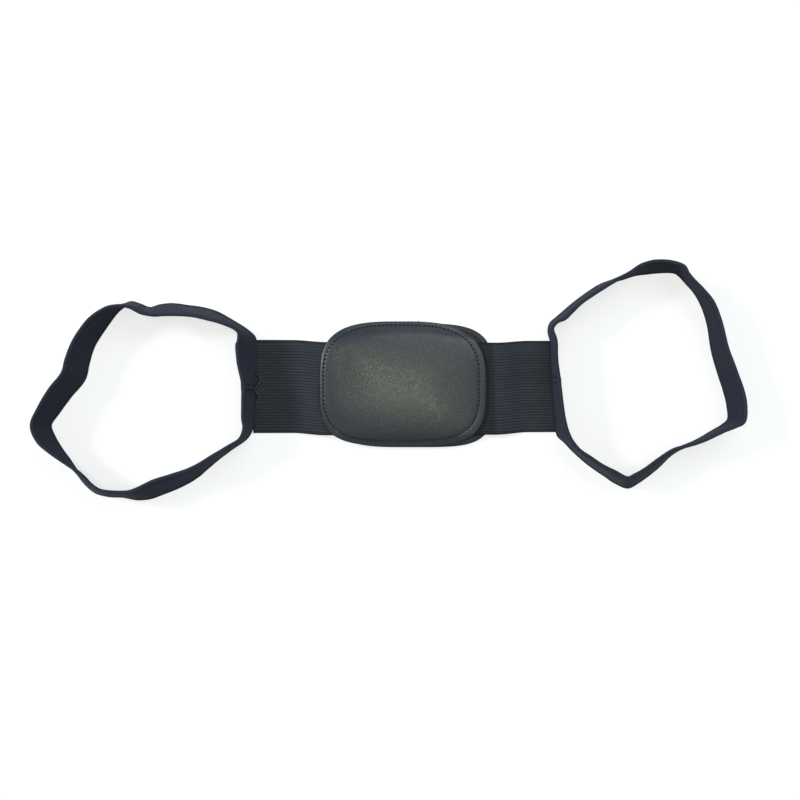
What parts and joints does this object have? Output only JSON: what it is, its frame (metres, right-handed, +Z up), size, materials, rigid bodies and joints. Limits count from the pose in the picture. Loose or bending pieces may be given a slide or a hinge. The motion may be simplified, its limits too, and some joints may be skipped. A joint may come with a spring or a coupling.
{
  "type": "posture corrector",
  "caption": "Posture corrector lying flat: a padded leather back pad on a ribbed elastic band, with a soft fabric arm loop standing on edge at each end.",
  "frame": {"origin": "middle of the whole outline as it lies, on the surface that it rests on", "axes": "+X along the elastic band from the left arm loop to the right one, +Y up the wearer's back, +Z up from the surface, out of the front cushion"},
  "size_m": [0.485, 0.1654, 0.0277],
  "materials": {
    "pad_leather": "fine pebbled grey-black leather with a soft sheen and a stitched edge",
    "rear_leather": "matt black leather with a cut edge",
    "ribbed_elastic": "black elastic with fine lengthwise ribs",
    "strap_fabric": "matt black brushed strap fabric with sewn edges"
  },
  "bodies": {
    "root": {"front_cushion": "pad_leather", "rear_panel": "rear_leather", "elastic_band": "ribbed_elastic", "arm_strap_left": "strap_fabric", "arm_strap_right": "strap_fabric"}
  },
  "joints": []
}
